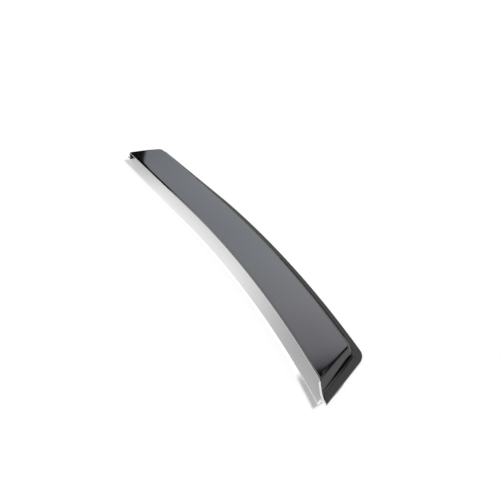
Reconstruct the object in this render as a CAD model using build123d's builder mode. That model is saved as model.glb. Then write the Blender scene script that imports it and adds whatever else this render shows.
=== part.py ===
"""Window rain deflector for a rear car door: one moulded shell with a flange on three of its sides.

The part lies on its flange. Z is up, away from the door. X runs along the window's upper edge, from the
front end to the rear end, and Y runs from the free edge to the flange along that window edge.
"""
import os
from math import atan2, cos, degrees, hypot, radians, sin

from build123d import *

# Window line: the flange's long edge, a straight run that goes over into one wide bend
front_run = 227.2            # straight length, from the front wall to the bend
bend_length = 404.5          # length along the bend, as far as the rear wall
bend_radius = 2005.0         # radius of the bend
cover_width = 75.5           # from the flange's long edge to the free edge

# Moulded wall
wall = 2.6                   # thickness of the cover and its walls
flange_thickness = 2.4       # thickness of the flange

# Flange widths, from the foot of the wall outwards
side_flange = 9.5            # along the window line
front_taper = 5.2            # how much narrower the side flange gets towards the front end
front_flange = 7.6           # at the front end
rear_flange = 10.8           # at the rear end
rear_taper = 2.9             # how much narrower the rear flange gets towards its tip
front_corner_radius = 10.0   # corner of the flange at the front, in plan
rear_corner_radius = 22.0    # corner of the flange at the rear, in plan

# Cover
crest_height = 12.2          # crest over the side wall, at the front end
cover_slope = 7.4            # climb of the cover from its crest, in degrees
cover_radius = 500.0         # bow of the cover across its width
rear_rise = 3.9              # how much higher the whole cover stands at the rear end

# Walls and ends
side_draft = 22.0            # lean of the side wall from upright, in degrees
rear_draft = 22.0            # lean of the rear wall
front_draft = 7.0            # lean of the front wall
rear_slant = 37.5            # rear end, turned from square across the window line
front_slant = 9.6            # front end, turned the other way

# Rounded edges
corner_radius = 9.0          # upright corners between the side wall and the end walls
fold_radius = 3.4            # folds between the cover and its walls
foot_radius = 1.8            # hollow between the walls and the flange
edge_round = 1.2             # upper edges of the flange and of the free edge

# Room to cut into, past the ends, the free edge and the underside
spare = 60.0
# Faces and edges that lean from upright by less than this, as a sine, count as upright
lean_limit = 0.01

bend_angle = degrees(bend_length / bend_radius)
spare_angle = degrees((bend_length + cover_width + spare) / bend_radius)
rise_angle = atan2(rear_rise, front_run + bend_length)

# Where the foot of the side wall meets the feet of the two end walls
rear_reach = bend_radius - side_flange
rear_corner = (rear_reach * sin(radians(bend_angle)), rear_reach * cos(radians(bend_angle)) - bend_radius, 0)
front_corner = (-front_run, -side_flange, 0)
rear_edge_turn = degrees(atan2(rear_taper * cos(radians(rear_slant)), cover_width - side_flange))

# The cover's own plane, which climbs a little towards the rear; its origin is on the window line at the front
climb = Plane(origin=(-front_run, 0, 0), x_dir=(cos(rise_angle), 0, sin(rise_angle)),
              z_dir=(-sin(rise_angle), 0, cos(rise_angle)))


def end_plane(corner, facing, draft, shift):
    """Plane through an end wall's foot, moved out by shift, with its normal pointing away from the cover."""
    across = radians(facing)
    lean = radians(draft)
    normal = Vector(cos(across) * cos(lean), sin(across) * cos(lean), sin(lean))
    return Plane(origin=Vector(*corner) + normal * shift, z_dir=normal)


def rear_plane(draft, shift, turn=0):
    return end_plane(rear_corner, rear_slant - bend_angle - turn, draft, shift)


def front_plane(draft, shift):
    return end_plane(front_corner, 180 - front_slant, draft, shift)


def band(plane, bend_start, outside, inside):
    """Strip in plan that follows the window line, between two distances from it, longer than the part."""
    with BuildSketch(plane) as strip:
        with BuildLine():
            runs = [Line((bend_start - front_run - spare, w), (bend_start, w)) for w in (outside, inside)]
            centre = (bend_start, -bend_radius)
            bends = [CenterArc(centre, bend_radius + w, 90, -spare_angle) for w in (outside, inside)]
            Line(runs[0] @ 0, runs[1] @ 0)
            Line(bends[0] @ 1, bends[1] @ 1)
        make_face()
    return strip.sketch


def cover_form(inset):
    """Solid below the cover's outer skin, or below its inner skin when inset by the wall's thickness."""
    with BuildLine(climb) as path:
        Line((-spare, 0), (front_run, 0))
        CenterArc((front_run, -bend_radius), bend_radius, 90, -spare_angle)
    with BuildPart() as form:
        with BuildSketch(Plane(origin=path.wire() @ 0, x_dir=(0, 1, 0), z_dir=path.wire() % 0)):
            with BuildLine():
                side = PolarLine((-side_flange, 0), crest_height, 90 + side_draft,
                                 length_mode=LengthMode.VERTICAL)
                inwards = (-cos(radians(cover_slope)), sin(radians(cover_slope)))
                across = JernArc(side @ 1, inwards, cover_radius, degrees(cover_width / cover_radius))
                below_side = Line(side @ 0, side @ 0 - (side % 0) * spare)
                below_free = Vector((across @ 1).X, (below_side @ 1).Y)
                Line(across @ 1, below_free)
                Line(below_free, below_side @ 1)
            make_face()
            if inset:
                offset(amount=-inset, kind=Kind.INTERSECTION)
        sweep(path=path.wire())
        split(bisect_by=rear_plane(rear_draft, -inset), keep=Keep.BOTTOM)
        split(bisect_by=front_plane(front_draft, -inset), keep=Keep.BOTTOM)
        end_walls = form.faces().sort_by(Axis.X)[0], form.faces().sort_by(Axis.X)[-1]
        fillet([end_wall.edges().sort_by(Axis.Y)[-1] for end_wall in end_walls], corner_radius - inset)
        side_wall = form.faces().sort_by(Axis.Y)[-1]
        fillet(side_wall.edges().sort_by(Axis.Z)[-1], fold_radius - inset)
    return form.part


# Outline of the flange, left too wide past the free edge
with BuildSketch() as flange_outline:
    add(band(Plane.XY, 0, 0, -cover_width - spare))
    split(bisect_by=rear_plane(0, rear_flange, rear_edge_turn), keep=Keep.BOTTOM)
    split(bisect_by=front_plane(0, front_flange), keep=Keep.BOTTOM)
    split(bisect_by=Plane(origin=(0, 0, 0), z_dir=(-front_taper, front_run, 0)), keep=Keep.BOTTOM)
    fillet(flange_outline.vertices().sort_by_distance(front_corner)[0], front_corner_radius)
    fillet(flange_outline.vertices().sort_by_distance(rear_corner)[0], rear_corner_radius)

with BuildPart() as cover:
    add(cover_form(0))
    split(bisect_by=Plane.XY, keep=Keep.TOP)

with BuildPart() as moulding:
    extrude(flange_outline.sketch, amount=flange_thickness)
    add(cover.part)
    fillet(moulding.edges(Select.NEW), foot_radius)
    extrude(band(climb, front_run, spare, -cover_width), amount=spare, both=True, mode=Mode.INTERSECT)
    upright_faces = moulding.faces().filter_by(lambda face: abs(face.normal_at().Z) < lean_limit)
    leaning = upright_faces.edges().filter_by(lambda edge: hypot((edge % 0.5).X, (edge % 0.5).Y) > lean_limit)
    fillet(leaning.filter_by(lambda edge: edge.center().Z > edge_round).sort_by(Axis.X), edge_round)
    add(cover_form(wall), mode=Mode.SUBTRACT)

# Placed with both ends on the X direction and the origin below the middle of the part
between_ends = Vector(*rear_corner) - Vector(*front_corner)
turned = moulding.part.rotate(Axis.Z, -degrees(atan2(between_ends.Y, between_ends.X)))
middle = turned.bounding_box().center()
with BuildPart() as deflector:
    with Locations((-middle.X, -middle.Y, 0)):
        add(turned)

os.makedirs("parts", exist_ok=True)
deflector.part.label = "deflector"
export_step(deflector.part, "parts/deflector.step")
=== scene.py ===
"""Window rain deflector of smoke-black acrylic, lying on its flange on a polished white table."""
from math import asin, atan2, cos, pi, radians, sin, tan

import bpy
from mathutils import Matrix, Vector


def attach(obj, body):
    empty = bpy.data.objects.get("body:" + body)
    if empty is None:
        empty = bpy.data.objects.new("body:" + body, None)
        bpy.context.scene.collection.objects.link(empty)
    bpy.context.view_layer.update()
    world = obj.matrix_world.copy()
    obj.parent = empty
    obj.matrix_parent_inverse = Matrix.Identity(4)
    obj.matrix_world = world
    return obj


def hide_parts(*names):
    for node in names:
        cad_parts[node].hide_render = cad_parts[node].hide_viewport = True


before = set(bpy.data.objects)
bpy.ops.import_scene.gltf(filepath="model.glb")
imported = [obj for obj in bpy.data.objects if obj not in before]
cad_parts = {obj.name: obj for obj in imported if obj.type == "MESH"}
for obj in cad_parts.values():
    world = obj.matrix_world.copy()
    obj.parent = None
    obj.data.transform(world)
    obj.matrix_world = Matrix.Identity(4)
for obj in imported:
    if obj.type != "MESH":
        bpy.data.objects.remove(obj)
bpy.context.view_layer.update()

bl_info = {
    "name": "Window Rain Deflector",
    "version": (1, 0, 0),
    "blender": (4, 5, 0),
    "location": "View3D > Sidebar > Deflector",
    "description": "Builds a moulded window rain deflector and the studio it is shown in",
    "category": "Object",
}


def length(name, description, default):
    """Property for a length in metres."""
    return bpy.props.FloatProperty(name=name, description=description, default=default, min=0.0, precision=5,
                                   subtype="DISTANCE", unit="LENGTH")


def angle(name, description, default):
    """Property for an angle, with its default in degrees."""
    return bpy.props.FloatProperty(name=name, description=description, default=radians(default),
                                   subtype="ANGLE", unit="ROTATION")


def fraction(name, description, default):
    """Property for a share between none and all."""
    return bpy.props.FloatProperty(name=name, description=description, default=default, min=0.0, max=1.0,
                                   subtype="FACTOR")


def colour(name, description, default):
    """Property for a colour."""
    return bpy.props.FloatVectorProperty(name=name, description=description, default=default, size=3,
                                         min=0.0, max=1.0, subtype="COLOR")


class DeflectorSizes(bpy.types.PropertyGroup):
    """Sizes of the moulded shell, measured as on the solid."""

    front_run: length("Front run", "Straight window edge, from the front wall to the bend", 0.2272)
    bend_length: length("Bend length", "Window edge along the bend, as far as the rear wall", 0.4045)
    bend_radius: length("Bend radius", "Radius of the window edge's bend", 2.005)
    cover_width: length("Cover width", "From the window edge to the free edge", 0.0755)
    wall: length("Wall", "Thickness of the moulded sheet", 0.0024)
    side_flange: length("Side flange", "Width of the flange along the window edge", 0.0095)
    front_taper: length("Front taper", "How much narrower the side flange gets at the front end", 0.0052)
    front_flange: length("Front flange", "Width of the flange at the front end", 0.0076)
    rear_flange: length("Rear flange", "Width of the flange at the rear end", 0.0108)
    rear_taper: length("Rear taper", "How much narrower the rear flange gets at its tip", 0.0029)
    front_corner: length("Front corner", "Radius of the flange's front corner", 0.010)
    rear_corner: length("Rear corner", "Radius of the flange's rear corner", 0.022)
    crest_height: length("Crest height", "Crest over the side wall, at the front end", 0.0122)
    cover_slope: angle("Cover slope", "Climb of the cover from its crest", 7.4)
    cover_radius: length("Cover radius", "Bow of the cover across its width", 0.5)
    lip_width: length("Lip width", "Strip along the free edge that rolls down", 0.0036)
    lip_drop: length("Lip drop", "How far the free edge rolls down", 0.0009)
    rear_rise: length("Rear rise", "How much higher the cover stands at the rear end", 0.0039)
    side_draft: angle("Side draft", "Lean of the side wall from upright", 22.0)
    rear_draft: angle("Rear draft", "Lean of the rear wall from upright", 22.0)
    front_draft: angle("Front draft", "Lean of the front wall from upright", 7.0)
    rear_slant: angle("Rear slant", "Rear end, turned from square across the window edge", 37.5)
    front_slant: angle("Front slant", "Front end, turned the other way", 9.6)
    wall_corner: length("Wall corner", "Radius of the upright corners between the walls", 0.009)
    fold_radius: length("Fold radius", "Radius of the folds between the cover and its walls", 0.0034)
    foot_radius: length("Foot radius", "Radius of the hollow between the walls and the flange", 0.0018)
    foot_spread: length("Foot spread", "Radius of that hollow at the rear end of the free edge", 0.0115)
    edge_round: length("Edge round", "Radius of the sheet's cut edges", 0.0009)


class AcrylicFinish(bpy.types.PropertyGroup):
    """Look of the smoke-black acrylic."""

    tint: colour("Tint", "Colour of the smoke-black sheet", (0.0045, 0.0047, 0.0052))
    haze: fraction("Haze", "Roughness of the polished face", 0.045)
    # The edge colour is partly the ground edge's own pale look and partly a painted highlight along the free
    # edge
    edge: colour("Edge", "Colour of the ground free edge", (0.8, 0.8, 0.81))
    ripple: length("Ripple", "Depth of the faint waves that forming leaves in the sheet", 0.00001)


class StudioSetup(bpy.types.PropertyGroup):
    """Table, softbox, cards and camera."""

    table: colour("Table", "Colour of the table", (0.97, 0.97, 0.97))
    lens: bpy.props.FloatProperty(name="Lens", description="Focal length of the camera in millimetres",
                                  default=47.52, min=1.0, unit="CAMERA")
    camera_place: bpy.props.FloatVectorProperty(name="Camera place", description="Where the camera stands",
                                                default=(0.75966, -0.36326, 0.5573), size=3,
                                                subtype="TRANSLATION", unit="LENGTH")
    camera_pitch: angle("Camera pitch", "Camera's angle up from looking straight down", 55.77)
    camera_turn: angle("Camera turn", "Camera's turn about the vertical", 62.37)
    polish: fraction("Polish", "Share of the table's look that mirrors the part", 0.17)
    backlight: fraction("Backlight", "Share of the table's white that shadows leave", 0.75)
    flag_distance: length("Flag distance", "From the part to the tall cards round it", 5.0)
    softbox_distance: length("Softbox distance", "From the part to the softbox behind it", 6.0)
    softbox_length: length("Softbox length", "Length of the softbox", 2.2)
    softbox_width: length("Softbox width", "Width of the softbox, across which its light grows", 3.3)
    softbox_azimuth: angle("Softbox azimuth", "Turn of the softbox to the left, from straight behind", -5.1)
    softbox_elevation: angle("Softbox elevation", "Height of the softbox over the table", 30.1)
    softbox_roll: angle("Softbox roll", "Lean of the softbox to the right", 34.0)
    softbox_strength: bpy.props.FloatProperty(name="Softbox strength", default=2.7, min=0.0,
                                              description="Radiance of the softbox at its brightest")


class Wire:
    """An output socket. Arithmetic on it adds Math or Vector Math nodes to its tree."""

    def __init__(self, socket):
        self.socket = socket

    def maths(self, operation, *values):
        """This socket and the values, put through one Math or Vector Math node."""
        return self.join(operation, (self,) + values)

    def join(self, operation, values):
        """The values, with this socket among them, put through one Math or Vector Math node."""
        tree = self.socket.id_data
        vectors = [v for v in values if isinstance(v, Wire) and v.socket.type == "VECTOR"]
        if not vectors:
            return node(tree, "ShaderNodeMath", {"operation": operation}, dict(enumerate(values)))
        numbers = [v for v in values if v not in vectors and not isinstance(v, tuple)]
        if operation == "MULTIPLY" and numbers:
            return node(tree, "ShaderNodeVectorMath", {"operation": "SCALE"},
                        {0: vectors[0], "Scale": numbers[0]})
        return node(tree, "ShaderNodeVectorMath", {"operation": operation}, dict(enumerate(values)))

    def __add__(self, other):
        return self.join("ADD", (self, other))

    def __radd__(self, other):
        return self.join("ADD", (other, self))

    def __sub__(self, other):
        return self.join("SUBTRACT", (self, other))

    def __rsub__(self, other):
        return self.join("SUBTRACT", (other, self))

    def __mul__(self, other):
        return self.join("MULTIPLY", (self, other))

    def __rmul__(self, other):
        return self.join("MULTIPLY", (other, self))

    def __truediv__(self, other):
        return self.join("DIVIDE", (self, other))

    def __rtruediv__(self, other):
        return self.join("DIVIDE", (other, self))


def node(tree, kind, settings=None, inputs=None, output=0):
    """Adds a node, sets it up, fills its sockets by name or number, and gives back one of its outputs.

    Besides a node's own settings, stops are a colour ramp's places and colours, and choices are an index
    switch's number of values. A list of wires goes into one socket.
    """
    made = tree.nodes.new(kind)
    for key, value in (settings or {}).items():
        if key == "stops":
            while len(made.color_ramp.elements) < len(value):
                made.color_ramp.elements.new(1.0)
            for stop, (place, shade) in zip(made.color_ramp.elements, value):
                stop.position = place
                stop.color = shade
        elif key == "choices":
            while len(made.index_switch_items) < value:
                made.index_switch_items.new()
        else:
            setattr(made, key, value)
    for key, value in (inputs or {}).items():
        for each in value if isinstance(value, list) else [value]:
            if isinstance(each, Wire):
                tree.links.new(each.socket, made.inputs[key])
            else:
                made.inputs[key].default_value = each
    return Wire(made.outputs[output]) if len(made.outputs) else made


def empty_tree(owner):
    """Node tree of a new material or world, with its first nodes taken out."""
    owner.use_nodes = True
    owner.node_tree.nodes.clear()
    return owner.node_tree


def window_offset(x, y, bend_radius):
    """Offset from the window edge, negative inside it, of a place in plan. The bend starts at X = 0."""
    bent = x.maths("MAXIMUM", 0.0)
    back = y + bend_radius
    return (bent * bent + back * back).maths("SQRT") - bend_radius


# Steps along the shell's outline: rolled lip, end wall, corner, straight run and bend
LIP_STEPS = 4
END_STEPS = 16
CORNER_STEPS = 10
RUN_STEPS = 52
BEND_STEPS = 92
STATIONS = 2 * (LIP_STEPS + END_STEPS + CORNER_STEPS) + RUN_STEPS + BEND_STEPS + 1
# Steps round a fold or a hollow
FILLET_STEPS = 9
# The cover is followed this many of the fold's radii past the crest, so that the fold has room
FOLD_REACH = 1.6
# The hollow at the rear wall's foot opens slowly first and faster towards the free edge
HOLLOW_POWER = 2
# Rounds that bring the top of the leaning wall onto the cover
CREST_ROUNDS = 3
# Points of walls and cover that lie closer together than this are joined
JOIN_DISTANCE = 0.00003
# Steps round a cut edge of the sheet, and the angle from which on an edge counts as cut
EDGE_STEPS = 4
CUT_ANGLE = radians(50)


def walk(start, heading, legs):
    """Points along straight and bent legs in plan. A leg is its length, its turn and its number of steps."""
    points = [Vector(start)]
    for reach, turn, steps in legs:
        origin = points[-1].copy()
        for step in range(1, steps + 1):
            share = step / steps
            if turn:
                radius = reach / turn
                ahead = radius * (sin(heading + turn * share) - sin(heading))
                aside = radius * (cos(heading) - cos(heading + turn * share))
                points.append(origin + Vector((ahead, aside)))
            else:
                points.append(origin + reach * share * Vector((cos(heading), sin(heading))))
        heading += turn
    return points


def outline(size, side, front, rear, front_radius, rear_radius, front_taper=0.0, rear_taper=0.0):
    """U-shaped line round the front end, the window edge and the rear end, from free edge to free edge.

    It lies inside the window edge by side, and inside the feet of the end walls by front and rear. The
    tapers are how far its straight run has come inwards at the front end, and its rear end at the free edge.
    """
    bend = size.bend_length / size.bend_radius
    ahead = pi / 2 - size.front_slant
    along = Vector((cos(ahead), sin(ahead)))
    inwards = Vector((sin(ahead), -cos(ahead)))
    slope = front_taper / size.front_run
    front_turn = ahead - atan2(slope, 1.0)
    front_foot = Vector((-size.front_run, -size.side_flange)) + inwards * front
    start = front_foot + along * (-size.cover_width - front_foot.y) / along.y
    corner = front_foot + along * (slope * front_foot.x - side - front_foot.y) / (along.y - slope * along.x)
    cut = front_radius * tan(front_turn / 2)
    front_leg = (corner - start).length - cut
    run_leg = (corner - Vector((0.0, -side))).length - cut

    facing = size.rear_slant - bend
    facing -= atan2(rear_taper * cos(size.rear_slant), size.cover_width - size.side_flange)
    reach = (size.bend_radius - size.side_flange) * sin(bend + facing) - rear
    bend_turn = asin((reach - rear_radius) / (size.bend_radius - side - rear_radius)) - facing
    rear_turn = pi / 2 - facing - bend_turn
    end_turn = asin(reach / (size.bend_radius - size.cover_width)) - facing
    end = Vector((sin(end_turn), cos(end_turn))) * (size.bend_radius - size.cover_width)
    turn_middle = Vector((sin(bend_turn), cos(bend_turn))) * (size.bend_radius - side - rear_radius)
    rear_leg = (end - turn_middle - rear_radius * Vector((cos(facing), sin(facing)))).length

    return walk(start, ahead, [
        (size.lip_width, 0, LIP_STEPS),
        (front_leg - size.lip_width, 0, END_STEPS),
        (front_radius * front_turn, -front_turn, CORNER_STEPS),
        (run_leg, 0, RUN_STEPS),
        (0, front_turn - ahead, 0),
        ((size.bend_radius - side) * bend_turn, -bend_turn, BEND_STEPS),
        (rear_radius * rear_turn, -rear_turn, CORNER_STEPS),
        (rear_leg - size.lip_width, 0, END_STEPS),
        (size.lip_width, 0, LIP_STEPS),
    ])


def rim_line(size, gap=0.0):
    """Outer edge of the flange, or a line outside it by a gap."""
    return outline(size, -gap, -size.front_flange - gap, -size.rear_flange - gap, size.front_corner + gap,
                   size.rear_corner + gap, size.front_taper, size.rear_taper)


def placing(size):
    """Turn and shift that lay both ends along X and put the origin below the middle of the part."""
    bend = size.bend_length / size.bend_radius
    reach = size.bend_radius - size.side_flange
    rear_foot = Vector((reach * sin(bend), reach * cos(bend) - size.bend_radius))
    between = rear_foot - Vector((-size.front_run, -size.side_flange))
    turn = -atan2(between.y, between.x)
    placed = [Matrix.Rotation(turn, 2) @ p for p in rim_line(size)]
    middle = [(min(p[axis] for p in placed) + max(p[axis] for p in placed)) / 2 for axis in range(2)]
    return turn, Vector((-middle[0], -middle[1], 0.0))


def foot_line(context, size):
    """Object whose mesh is the line along the feet of the walls.

    Its points carry the way out to the flange's edge, the wall's lean for each metre of height, the fold's
    reach onto the cover and the radius of the hollow at the foot.
    """
    tall = size.crest_height + size.rear_rise
    fold = FOLD_REACH * size.fold_radius
    front, rear = tall * tan(size.front_draft), tall * tan(size.rear_draft)
    side = size.side_flange + tall * tan(size.side_draft)
    radius = size.wall_corner
    foot = outline(size, size.side_flange, 0, 0, radius, radius)
    crest = outline(size, side, front, rear, radius, radius)
    inner = outline(size, side + fold, front + fold, rear + fold, radius - fold, radius - fold)

    mesh = bpy.data.meshes.new("foot_line")
    mesh.from_pydata([p.to_3d() for p in foot], [(i, i + 1) for i in range(len(foot) - 1)], [])
    for name, starts, ends, divisor in (("flange", foot, rim_line(size), 1.0), ("lean", foot, crest, tall),
                                        ("fold", crest, inner, 1.0)):
        attribute = mesh.attributes.new(name, "FLOAT_VECTOR", "POINT")
        for item, start, end in zip(attribute.data, starts, ends):
            item.vector = ((end - start) / divisor).to_3d()
    hollow = mesh.attributes.new("hollow", "FLOAT_VECTOR", "POINT")
    rear_steps = END_STEPS + LIP_STEPS
    for number, item in enumerate(hollow.data):
        share = max(0.0, (number - (STATIONS - 1 - rear_steps)) / rear_steps)
        spread = (size.foot_spread - size.foot_radius) * share ** HOLLOW_POWER
        item.vector = (size.foot_radius + spread, 0.0, 0.0)
    line = bpy.data.objects.new("foot_line", mesh)
    context.scene.collection.objects.link(line)
    return line


class ShellTree:
    """Geometry tree that raises flange and walls along the foot line and lays the cover between them."""

    # Places on a section: flange edge, foot, crest and the cover past the fold, counted from 0
    KNOTS = 4
    CREST_KNOT = 2
    # Points on a section once its foot and its crest are rounded
    ROWS = 2 + 2 * (FILLET_STEPS + 1)

    def __init__(self, size, acrylic):
        self.tree = bpy.data.node_groups.new("deflector_shell", "GeometryNodeTree")
        self.given = self.add_inputs(size)
        self.position = self.make("GeometryNodeInputPosition")
        self.index = self.make("GeometryNodeInputIndex")
        walls = self.walls()
        self.close([walls, self.face(walls)], acrylic)

    def add_inputs(self, size):
        """Adds the tree's named inputs and its output, and gives back the inputs by their names."""
        for name, kind, default, description in (
            ("Foot line", "Geometry", None, "Line along the feet of the walls"),
            ("Sheet", "Float", size.wall, "Thickness of the sheet, which is the height of the flange"),
            ("Front run", "Float", size.front_run, "Straight window edge before the bend"),
            ("Bend radius", "Float", size.bend_radius, "Radius of the window edge's bend"),
            ("Cover width", "Float", size.cover_width, "From the window edge to the free edge"),
            ("Cover radius", "Float", size.cover_radius, "Bow of the cover across its width"),
            ("Bow middle", "Float", 0.0, "Where across the width the cover is highest"),
            ("Bow height", "Float", 0.0, "Height of the middle of the cover's bow"),
            ("Rise", "Float", 0.0, "Climb of the cover towards the rear"),
            ("Lip width", "Float", size.lip_width, "Strip along the free edge that rolls down"),
            ("Lip drop", "Float", size.lip_drop, "How far the free edge rolls down"),
            ("Fold radius", "Float", size.fold_radius, "Radius of the folds between cover and walls"),
            ("Turn", "Float", 0.0, "Turn of the finished shell about the vertical"),
            ("Shift", "Vector", (0.0, 0.0, 0.0), "Move of the finished shell"),
        ):
            made = self.tree.interface.new_socket(name, in_out="INPUT", socket_type="NodeSocket" + kind,
                                                  description=description)
            if default is not None:
                made.default_value = default
        self.tree.interface.new_socket("Shell", in_out="OUTPUT", socket_type="NodeSocketGeometry")
        entry = self.make("NodeGroupInput").socket.node
        return {output.name: Wire(output) for output in entry.outputs if output.name}

    def make(self, kind, settings=None, inputs=None, output=0):
        """Adds a node to this tree."""
        return node(self.tree, kind, settings, inputs, output)

    def vector(self, x, y, z):
        """Vector from its three parts."""
        return self.make("ShaderNodeCombineXYZ", None, {0: x, 1: y, 2: z})

    def parts(self, place):
        """The X, Y and Z of a place."""
        return [self.make("ShaderNodeSeparateXYZ", None, {0: place}, axis) for axis in range(3)]

    def sample(self, geometry, value, index):
        """A value at one point of a geometry."""
        return self.make("GeometryNodeSampleIndex", {"data_type": "FLOAT_VECTOR"},
                         {"Geometry": geometry, "Value": value, "Index": index})

    def stored(self, name):
        """What the points carry under a name."""
        return self.make("GeometryNodeInputNamedAttribute", {"data_type": "FLOAT_VECTOR"}, {"Name": name})

    def strip(self, place):
        """Distance along the window edge and offset from it of a place in plan."""
        radius = self.given["Bend radius"]
        x, y, _ = self.parts(place)
        bent = x.maths("MAXIMUM", 0.0).maths("ARCTAN2", y + radius) * radius
        return bent + x.maths("MINIMUM", 0.0), window_offset(x, y, radius)

    def on_strip(self, run, offset):
        """Place in plan of a distance along the window edge and an offset from it."""
        turn = run.maths("MAXIMUM", 0.0) / self.given["Bend radius"]
        radius = self.given["Bend radius"] + offset
        return self.vector(run.maths("MINIMUM", 0.0) + radius * turn.maths("SINE"),
                           radius * turn.maths("COSINE") - self.given["Bend radius"], 0.0)

    def cover(self, place):
        """The place, lifted to the cover's outer skin."""
        given = self.given
        x, y, _ = self.parts(place)
        offset = window_offset(x, y, given["Bend radius"])
        across = offset - given["Bow middle"]
        bow = (given["Cover radius"] * given["Cover radius"] - across * across).maths("SQRT")
        climb = (x + given["Front run"]) * given["Rise"]
        lip = (1 - (offset + given["Cover width"]) / given["Lip width"]).maths("MAXIMUM", 0.0)
        return self.vector(x, y, bow + given["Bow height"] + climb - lip * lip * given["Lip drop"])

    def sections(self):
        """A curve across the flange and the wall at each station, with its foot and its crest rounded."""
        given = self.given
        station = (self.index / self.KNOTS).maths("FLOOR")
        knot = self.index - station * self.KNOTS
        foot = self.sample(given["Foot line"], self.position, station)
        flange, lean, fold, hollow = [self.sample(given["Foot line"], self.stored(name), station)
                                      for name in ("flange", "lean", "fold", "hollow")]
        crest = self.cover(foot)
        for _ in range(CREST_ROUNDS):
            height = self.parts(crest)[2]
            crest = self.cover(foot + lean * height)
        lift = self.vector(0.0, 0.0, given["Sheet"])
        places = (foot + flange + lift, foot + lean * given["Sheet"] + lift, crest, self.cover(crest + fold))

        chosen = self.make("GeometryNodeIndexSwitch", {"data_type": "VECTOR", "choices": self.KNOTS},
                           {"Index": knot, **dict(enumerate(places, 1))})
        points = self.make("GeometryNodePoints", None, {"Count": STATIONS * self.KNOTS, "Position": chosen})
        curves = self.make("GeometryNodePointsToCurves", None,
                           {"Points": points, "Curve Group ID": station, "Weight": knot})
        past_foot = self.make("FunctionNodeCompare", {"operation": "GREATER_EQUAL"},
                              {0: knot, 1: self.CREST_KNOT})
        radius = self.make("GeometryNodeSwitch", {"input_type": "FLOAT"}, {
            "Switch": past_foot, "False": self.parts(hollow)[0], "True": given["Fold radius"]})
        return self.make("GeometryNodeFilletCurve", {"mode": "POLY"},
                         {"Curve": curves, "Radius": radius, "Count": FILLET_STEPS, "Limit Radius": True})

    def walls(self):
        """Flange and walls: a net over the sections. Its points carry their places along the window edge."""
        net = self.make("GeometryNodeMeshGrid", None, {"Vertices X": STATIONS, "Vertices Y": self.ROWS})
        places = self.sample(self.sections(), self.position, self.index)
        walls = self.make("GeometryNodeSetPosition", None, {"Geometry": net, "Position": places})
        walls = self.make("GeometryNodeFlipFaces", None, {"Mesh": walls})
        run, offset = self.strip(self.position)
        return self.make("GeometryNodeStoreNamedAttribute", {"data_type": "FLOAT_VECTOR", "domain": "POINT"},
                         {"Geometry": walls, "Name": "strip", "Value": self.vector(run, offset, 0.0)})

    def face(self, walls):
        """Cover: a net whose four sides are the inner line of the three walls and the free edge."""
        width = self.given["Cover width"]
        ends = LIP_STEPS + END_STEPS + CORNER_STEPS // 2
        columns = CORNER_STEPS + RUN_STEPS + BEND_STEPS
        column = (self.index / (ends + 1)).maths("FLOOR")
        row = self.index - column * (ends + 1)

        def inner(station):
            """Run and offset of a station on the inner line of the walls."""
            place = self.sample(walls, self.stored("strip"), station * self.ROWS + (self.ROWS - 1))
            return self.parts(place)[:2]

        def mix(start, end, share):
            return start * (1 - share) + end * share

        front, rear, side = inner(row), inner(STATIONS - 1 - row), inner(column + ends)
        front_free, rear_free = inner(0), inner(STATIONS - 1)
        front_turn, rear_turn = inner(ends), inner(ends + columns)
        along = (side[0] - front_turn[0]) / (rear_turn[0] - front_turn[0])
        front_inset = (front[1] + width) / (front_turn[1] + width)
        rear_inset = (rear[1] + width) / (rear_turn[1] + width)
        inset = mix(front_inset, rear_inset, along)
        free = (mix(front_free[0], rear_free[0], along), width * -1)
        place = []
        for axis in range(2):
            between = mix(free[axis], side[axis], inset) + mix(front[axis], rear[axis], along)
            corners = mix(mix(front_free[axis], rear_free[axis], along),
                          mix(front_turn[axis], rear_turn[axis], along), inset)
            place.append(between - corners)
        net = self.make("GeometryNodeMeshGrid", None, {"Vertices X": columns + 1, "Vertices Y": ends + 1})
        return self.make("GeometryNodeSetPosition", None,
                         {"Geometry": net, "Position": self.cover(self.on_strip(*place))})

    def close(self, nets, acrylic):
        """Joins the nets to one sheet, lays it in its place and gives it its material."""
        sheet = self.make("GeometryNodeJoinGeometry", None, {"Geometry": nets})
        sheet = self.make("GeometryNodeMergeByDistance", None,
                          {"Geometry": sheet, "Distance": JOIN_DISTANCE})
        sheet = self.make("GeometryNodeSetShadeSmooth", None, {"Geometry": sheet, "Shade Smooth": True})
        turn = self.vector(0.0, 0.0, self.given["Turn"])
        sheet = self.make("GeometryNodeTransform", None,
                          {"Geometry": sheet, "Translation": self.given["Shift"], "Rotation": turn})
        sheet = self.make("GeometryNodeRealizeInstances", None, {"Geometry": sheet})
        sheet = self.make("GeometryNodeSetMaterial", None, {"Geometry": sheet, "Material": acrylic})
        self.make("NodeGroupOutput", None, {0: sheet})


# Acrylic
SMOKE_SHADES = (0.8, 1.25)         # brightness of the tint, from the darkest to the lightest smoke
EVEN_HAZE = 0.7                    # share of the haze that is everywhere
PATCHY_HAZE = 0.6                  # and share that comes on top of it in patches
DUST_LEVEL = 0.68                  # noise above this is a speck of dust
DUST_CONTRAST = 6.0                # how fast a speck sets in
DUST_ROUGHNESS = 0.02              # how much rougher a speck is
# The pale look of the ground free edge is partly its own colour and partly a painted highlight
GROUND_EDGE_AND_HIGHLIGHT = (0.0004, 0.0002)     # how far from the free edge its ground look sets in, and is full
GROUND_ROUGHNESS = 0.4             # how much rougher the ground edge is
ACRYLIC_IOR = 1.49


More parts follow.
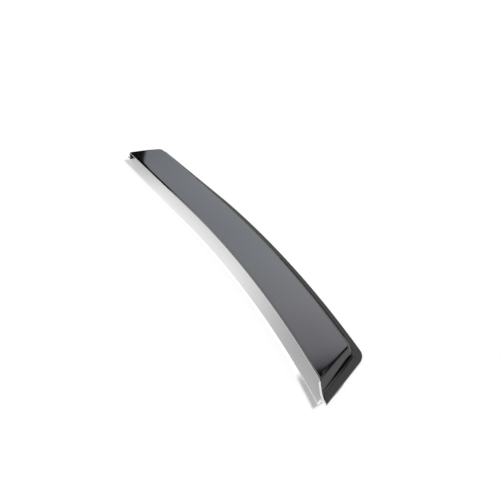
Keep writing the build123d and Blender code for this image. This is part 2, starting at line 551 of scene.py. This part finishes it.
def smoke_acrylic(finish, size):
    """Polished smoke-black acrylic: a faint haze, slight waves from forming and a ground free edge, whose
    pale colour is partly a painted highlight.
    """
    material = bpy.data.materials.new("smoke_acrylic")
    tree = empty_tree(material)
    place = node(tree, "ShaderNodeTexCoord", None, None, "Object")

    def noise(scale, detail, roughness=0.5):
        return node(tree, "ShaderNodeTexNoise", None,
                    {"Vector": place, "Scale": scale, "Detail": detail, "Roughness": roughness})

    def mix(share, first, second):
        return node(tree, "ShaderNodeMix", {"data_type": "RGBA"},
                    {"Factor": share, "A": first, "B": second}, 2)

    smoke = noise(scale=9.0, detail=2.0)
    haze = noise(scale=70.0, detail=4.0, roughness=0.6)
    specks = noise(scale=900.0, detail=1.0)
    waves = noise(scale=22.0, detail=1.0)
    dust = ((specks - DUST_LEVEL) * DUST_CONTRAST).maths("MAXIMUM", 0.0)

    # The strip along the free edge, by its offset from the window edge: it is rougher, and its pale colour
    # is partly a painted highlight
    turn, shift = placing(size)
    x, y = [node(tree, "ShaderNodeSeparateXYZ", None, {0: place - tuple(shift)}, axis) for axis in range(2)]
    offset = window_offset(x * cos(turn) + y * sin(turn), y * cos(turn) - x * sin(turn), size.bend_radius)
    start, full = [gap - size.cover_width for gap in GROUND_EDGE_AND_HIGHLIGHT]
    ground = node(tree, "ShaderNodeMapRange", None, {"Value": offset, "From Min": start, "From Max": full})

    dark, light = [(*(Vector(finish.tint) * share), 1.0) for share in SMOKE_SHADES]
    # Pale colour on the free edge strip: partly the ground edge's own look, partly a painted highlight
    shade = mix(ground, mix(smoke, dark, light), (*finish.edge, 1.0))
    rough = finish.haze * EVEN_HAZE + haze * (finish.haze * PATCHY_HAZE)
    rough = rough + dust * DUST_ROUGHNESS + ground * GROUND_ROUGHNESS
    bump = node(tree, "ShaderNodeBump", None,
                {"Height": waves * finish.ripple, "Strength": 1.0, "Distance": 1.0})
    shader = node(tree, "ShaderNodeBsdfPrincipled", None,
                  {"Base Color": shade, "Roughness": rough, "IOR": ACRYLIC_IOR, "Normal": bump})
    node(tree, "ShaderNodeOutputMaterial", None, {"Surface": shader})
    return material


class DEFLECTOR_OT_shell(bpy.types.Operator):
    """Builds the deflector's moulded shell from its foot line"""

    bl_idname = "deflector.shell"
    bl_label = "Build Shell"

    def execute(self, context):
        size = context.scene.deflector_sizes
        line = foot_line(context, size)
        turn, shift = placing(size)
        tree = ShellTree(size, smoke_acrylic(context.scene.deflector_finish, size)).tree
        raise_shell = line.modifiers.new("shell", "NODES")
        raise_shell.node_group = tree
        crest_offset = -size.side_flange - size.crest_height * tan(size.side_draft)
        values = {
            "Bow middle": crest_offset - size.cover_radius * sin(size.cover_slope),
            "Bow height": size.crest_height - size.cover_radius * cos(size.cover_slope),
            "Rise": size.rear_rise / (size.front_run + size.bend_length),
            "Turn": turn,
            "Shift": shift,
        }
        for item in tree.interface.items_tree:
            if item.name in values:
                raise_shell[item.identifier] = values[item.name]
        thicken = line.modifiers.new("sheet", "SOLIDIFY")
        thicken.thickness = size.wall
        thicken.offset = -1.0
        edges = line.modifiers.new("edges", "BEVEL")
        edges.width = size.edge_round
        edges.segments = EDGE_STEPS
        edges.limit_method = "ANGLE"
        edges.angle_limit = CUT_ANGLE
        line.modifiers.new("smooth", "WEIGHTED_NORMAL")

        made = line.evaluated_get(context.evaluated_depsgraph_get())
        mesh = bpy.data.meshes.new_from_object(made)
        bpy.data.objects.remove(line)
        if not mesh.polygons:
            raise RuntimeError("the shell's tree gave no faces")
        mesh.name = "deflector_shell"
        shell = bpy.data.objects.new("deflector_shell", mesh)
        context.scene.collection.objects.link(shell)
        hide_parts("deflector")
        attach(shell, "root")
        return {"FINISHED"}


WHITE = (1.0, 1.0, 1.0, 1.0)
# Brightness of the surroundings, of the left card and of the dim strip on the low card
WHITE_STRENGTH = 1.0
BRIGHT_STRENGTH = 3.2
DIM_STRENGTH = 0.25

# Table
TABLE_REACH = 8.0                  # how far it reaches each way
TABLE_DROP = 0.0001                # how far it lies below the part
TABLE_GLOW = 1.03                  # white that it shows by itself, to the camera and in reflections
MIRROR_ROUGHNESS = 0.06            # roughness of its polish

# Polished strip of the table, beside the free edge. A pair is the two places that something fades between
POLISH_BORDER = (-0.2848, -0.1849, 0.0202, -0.0361)    # outer border: Y as a cubic in X, highest power first
POLISH_WIDENING = 0.004            # how far that border moves out near the rear end
POLISH_WIDENS = (0.26, 0.30)       # where it does so, along X
POLISH_FADES_IN = (-0.003, 0.002)  # across the outer border
POLISH_FADES_OUT = (0.045, 0.050)  # further in, under the part
POLISH_FRONT = (-0.345, -0.337)    # front end, along X
POLISH_REAR = (0.331, 0.336)       # rear end, along X
POLISH_REAR_SLANT = 0.154          # turn of the rear end from square, as a slope
FRONT_GAIN = 2.2                   # how many times stronger the polish is at the front end
FRONT_GAIN_GOES = (-0.30, -0.18)   # where that dies away, along X
REAR_GAIN = 3.25                   # how many times stronger it is at the rear end
REAR_GAIN_COMES = (0.05, 0.27)     # where that sets in, along X


def white_table(setup):
    """White table, polished in a strip beside the part's free edge and dull elsewhere."""
    material = bpy.data.materials.new("white_table")
    tree = empty_tree(material)
    place = node(tree, "ShaderNodeTexCoord", None, None, "Object")
    x, y = [node(tree, "ShaderNodeSeparateXYZ", None, {0: place}, axis) for axis in range(2)]

    def fade(value, places, levels):
        """Goes over from one level to another between two places."""
        return node(tree, "ShaderNodeMapRange", {"interpolation_type": "SMOOTHSTEP"},
                    {"Value": value, "From Min": places[0], "From Max": places[1],
                     "To Min": levels[0], "To Max": levels[1]})

    off, on = (1.0, 0.0), (0.0, 1.0)
    cubic, square, slope, start = POLISH_BORDER
    border = ((x * cubic + square) * x + slope) * x + start
    inside = y - border + fade(x, POLISH_WIDENS, (0.0, POLISH_WIDENING))
    strip = fade(inside, POLISH_FADES_IN, on) * fade(inside, POLISH_FADES_OUT, off)
    strip = strip * fade(x, POLISH_FRONT, on) * fade(x + y * POLISH_REAR_SLANT, POLISH_REAR, off)
    strength = fade(x, FRONT_GAIN_GOES, (setup.polish * FRONT_GAIN, setup.polish))
    strength = strength * fade(x, REAR_GAIN_COMES, (1.0, REAR_GAIN))

    rays = [node(tree, "ShaderNodeLightPath", None, None, "Is %s Ray" % kind)
            for kind in ("Camera", "Glossy", "Transmission")]
    seen = (rays[0] + rays[1] + rays[2]).maths("MINIMUM", 1.0)
    dull = node(tree, "ShaderNodeBsdfDiffuse", None, {"Color": (*setup.table, 1.0)})
    glow = node(tree, "ShaderNodeEmission", None, {"Color": WHITE, "Strength": TABLE_GLOW})
    plain = node(tree, "ShaderNodeMixShader", None, {0: seen * setup.backlight, 1: dull, 2: glow})
    mirror = node(tree, "ShaderNodeBsdfGlossy", None, {"Color": WHITE, "Roughness": MIRROR_ROUGHNESS})
    mixed = node(tree, "ShaderNodeMixShader", None, {0: strip * strength, 1: plain, 2: mirror})
    node(tree, "ShaderNodeOutputMaterial", None, {"Surface": mixed})
    return material


# Light of the softbox from its lower edge, at 0, to its upper edge, at 1
SOFTBOX_LIGHT = (
    (0.00, (0.365, 0.39, 0.417, 1.0)),
    (0.17, (0.563, 0.602, 0.644, 1.0)),
    (0.42, (0.75, 0.803, 0.859, 1.0)),
    (0.58, (0.90, 0.945, 1.01, 1.0)),
    (0.73, (1.00, 1.00, 1.08, 1.0)),
    (0.89, (0.905, 0.885, 0.975, 1.0)),
    (0.93, (0.785, 0.77, 0.85, 1.0)),
    (0.972, (0.435, 0.427, 0.470, 1.0)),
    (0.980, (0.005, 0.005, 0.005, 1.0)),
)


def softbox_cloth(setup):
    """Lit cloth of the softbox: dim along its lower edge, brightest above its middle, black at its top."""
    material = bpy.data.materials.new("softbox_cloth")
    tree = empty_tree(material)
    place = node(tree, "ShaderNodeTexCoord", None, None, "Object")
    from_middle = node(tree, "ShaderNodeSeparateXYZ", None, {0: place}, 1)
    across = (from_middle + setup.softbox_width / 2) / setup.softbox_width
    light = node(tree, "ShaderNodeValToRGB", {"stops": SOFTBOX_LIGHT}, {0: across})
    glow = node(tree, "ShaderNodeEmission", None, {"Color": light, "Strength": setup.softbox_strength})
    node(tree, "ShaderNodeOutputMaterial", None, {"Surface": glow})
    return material


FELT_BLACK = (0.004, 0.004, 0.004, 1.0)


def black_felt():
    """Felt of the black cards."""
    material = bpy.data.materials.new("black_felt")
    tree = empty_tree(material)
    felt = node(tree, "ShaderNodeBsdfDiffuse", None, {"Color": FELT_BLACK})
    node(tree, "ShaderNodeOutputMaterial", None, {"Surface": felt})
    return material


def lit_card(name, strength):
    """Evenly lit card."""
    material = bpy.data.materials.new(name)
    tree = empty_tree(material)
    glow = node(tree, "ShaderNodeEmission", None, {"Color": WHITE, "Strength": strength})
    node(tree, "ShaderNodeOutputMaterial", None, {"Surface": glow})
    return material


def direction(setup, azimuth, elevation):
    """Way from the part to a place in the studio: to the left of straight behind it, and up."""
    turn = setup.camera_turn + azimuth
    return Vector((-sin(turn) * cos(elevation), cos(turn) * cos(elevation), sin(elevation)))


def add_mesh(context, name, points, faces, material):
    """Adds a mesh that belongs to the studio."""
    mesh = bpy.data.meshes.new(name)
    mesh.from_pydata(points, [], faces)
    mesh.materials.append(material)
    made = bpy.data.objects.new(name, mesh)
    context.scene.collection.objects.link(made)
    return made


def add_rectangle(context, name, half_length, half_width, height, material):
    """Adds a level rectangle round the origin, which belongs to the studio."""
    corners = [(half_length * x, half_width * y, height) for x, y in ((-1, -1), (1, -1), (1, 1), (-1, 1))]
    return add_mesh(context, name, corners, [(0, 1, 2, 3)], material)


def add_softbox(context, setup):
    """Adds the softbox behind the part, which the camera doesn't see."""
    away = direction(setup, setup.softbox_azimuth, setup.softbox_elevation)
    right = away.cross(Vector((0.0, 0.0, 1.0))).normalized()
    upward = right * sin(setup.softbox_roll) + right.cross(away) * cos(setup.softbox_roll)
    turned = Matrix((upward.cross(-away), upward, -away)).transposed()
    made = add_rectangle(context, "softbox", setup.softbox_length / 2, setup.softbox_width / 2, 0.0,
                         softbox_cloth(setup))
    made.matrix_world = Matrix.LocRotScale(away * setup.softbox_distance, turned.to_quaternion(), None)
    made.visible_camera = False


def add_card(context, name, lines, material):
    """Adds a bent card between lines of points, given from its foot up. It only shows in reflections."""
    count = len(lines[0])
    corners = (0, 1, count + 1, count)
    faces = [tuple(row * count + i + corner for corner in corners)
             for row in range(len(lines) - 1) for i in range(count - 1)]
    made = add_mesh(context, name, [p for line in lines for p in line], faces, material)
    made.visible_camera = False
    made.visible_diffuse = False
    made.visible_shadow = False
    return made


# Tall cards round the part. Each edge is its foot and its top, in degrees left of straight behind and up
LEFT_FLAG = (((5.8, 17), (10.9, 24.2)), ((12, 17), (11.3, 35)), ((22, 17), (22, 35)), ((35, 17), (35, 35)),
             ((48, 17), (48, 35)))
LEFT_CARD = (((11.3, 35), (12, 54)), ((22, 35), (22, 54)), ((35, 35), (35, 54)), ((48, 35), (48, 54)))
RIGHT_FLAG = (((-17, 38.5), (-17, 48.5)), ((-24, 36), (-24, 48.5)), ((-34, 36.3), (-34, 48.8)),
              ((-43, 35.8), (-43, 47.8)), ((-51, 34), (-51, 46.2)), ((-58, 31.2), (-58, 43.2)),
              ((-65, 27), (-65, 39.3)), ((-73, 19), (-73, 31.5)))
LOW_FLAG = (((-79.5, 8), (-79.5, 22)), ((-82.7, 8), (-82.7, 22)))
TOP_FLAG = (((-2, 48.7), (-2, 54)), ((-5, 47.4), (-5, 54)), ((-8.7, 45.75), (-8.7, 52)),
            ((-11, 44.75), (-11, 49)), ((-12.3, 44.2), (-12.3, 45.5)))


def add_tall_cards(context, setup):
    """Adds the black flags and the bright card, upright and all at one distance from the part."""
    def place(azimuth, elevation):
        azimuth, elevation = radians(azimuth), radians(elevation)
        return direction(setup, azimuth, elevation) * (setup.flag_distance / cos(elevation))

    felt = black_felt()
    for name, edges, material in (
        ("left_flag", LEFT_FLAG, felt),
        ("left_card", LEFT_CARD, lit_card("bright_card", BRIGHT_STRENGTH)),
        ("right_flag", RIGHT_FLAG, felt),
        ("low_flag", LOW_FLAG, felt),
        ("top_flag", TOP_FLAG, felt),
    ):
        lines = [[place(*end) for end in ends] for ends in zip(*edges)]
        add_card(context, name, lines, material)


# Low card along the window edge
WINDOW_GAP = 0.008                 # gap between it and the flange
WINDOW_HEIGHTS = (                 # at the front end and at the rear end
    (0.0, 0.0),                    # foot
    (0.0123, 0.0270),              # seam
    (0.0146, 0.0306),              # top
)
DIM_FACES = slice(88, -12)         # faces above the seam that are dim, counted from the front end


def add_window_card(context):
    """Adds the low white card that stands along the window edge, with a dim strip at its top."""
    size = context.scene.deflector_sizes
    ends = LIP_STEPS + END_STEPS + CORNER_STEPS
    turn, shift = placing(size)
    line = [(Matrix.Rotation(turn, 2) @ p).to_3d() + shift for p in rim_line(size, WINDOW_GAP)[ends:-ends]]
    last = len(line) - 1
    lines = [[p + Vector((0.0, 0.0, front + (rear - front) * i / last)) for i, p in enumerate(line)]
             for front, rear in WINDOW_HEIGHTS]
    made = add_card(context, "window_card", lines, lit_card("white_card", WHITE_STRENGTH))
    made.data.materials.append(lit_card("dim_card", DIM_STRENGTH))
    upper_faces = list(made.data.polygons)[last:]
    for face in upper_faces[DIM_FACES]:
        face.material_index = 1


def add_surroundings(scene):
    """Adds plain white surroundings."""
    scene.world = bpy.data.worlds.new("studio")
    tree = empty_tree(scene.world)
    background = node(tree, "ShaderNodeBackground", None, {"Color": WHITE, "Strength": WHITE_STRENGTH})
    node(tree, "ShaderNodeOutputWorld", None, {"Surface": background})


# Width of the camera's sensor in millimetres
SENSOR_WIDTH = 36.0


def add_camera(scene, setup):
    """Adds the camera and looks through it."""
    data = bpy.data.cameras.new("camera")
    data.lens = setup.lens
    data.sensor_width = SENSOR_WIDTH
    made = bpy.data.objects.new("camera", data)
    made.location = setup.camera_place
    made.rotation_euler = (setup.camera_pitch, 0.0, setup.camera_turn)
    scene.collection.objects.link(made)
    scene.camera = made


class DEFLECTOR_OT_stage(bpy.types.Operator):
    """Builds the white table, the softbox, the cards, the surroundings and the camera"""

    bl_idname = "deflector.stage"
    bl_label = "Build Stage"

    def execute(self, context):
        scene = context.scene
        setup = scene.deflector_studio
        scene.view_settings.view_transform = "Standard"
        add_rectangle(context, "table", TABLE_REACH, TABLE_REACH, -TABLE_DROP, white_table(setup))
        add_softbox(context, setup)
        add_tall_cards(context, setup)
        add_window_card(context)
        add_surroundings(scene)
        add_camera(scene, setup)
        return {"FINISHED"}


class DEFLECTOR_PT_sidebar(bpy.types.Panel):
    """Lists the deflector's sizes, finish and studio with the buttons that build them"""

    bl_idname = "DEFLECTOR_PT_sidebar"
    bl_label = "Window Rain Deflector"
    bl_space_type = "VIEW_3D"
    bl_region_type = "UI"
    bl_category = "Deflector"

    def draw(self, context):
        scene = context.scene
        for group, button in ((scene.deflector_sizes, None), (scene.deflector_finish, "deflector.shell"),
                              (scene.deflector_studio, "deflector.stage")):
            box = self.layout.box()
            for name in group.__annotations__:
                box.prop(group, name)
            if button:
                box.operator(button)


CLASSES = (DeflectorSizes, AcrylicFinish, StudioSetup, DEFLECTOR_OT_shell, DEFLECTOR_OT_stage,
           DEFLECTOR_PT_sidebar)


def register():
    for each in CLASSES:
        bpy.utils.register_class(each)
    bpy.types.Scene.deflector_sizes = bpy.props.PointerProperty(type=DeflectorSizes)
    bpy.types.Scene.deflector_finish = bpy.props.PointerProperty(type=AcrylicFinish)
    bpy.types.Scene.deflector_studio = bpy.props.PointerProperty(type=StudioSetup)


def unregister():
    del bpy.types.Scene.deflector_sizes
    del bpy.types.Scene.deflector_finish
    del bpy.types.Scene.deflector_studio
    for each in reversed(CLASSES):
        bpy.utils.unregister_class(each)


def main():
    register()
    bpy.ops.deflector.shell()
    bpy.ops.deflector.stage()


if __name__ == "__main__":
    main()
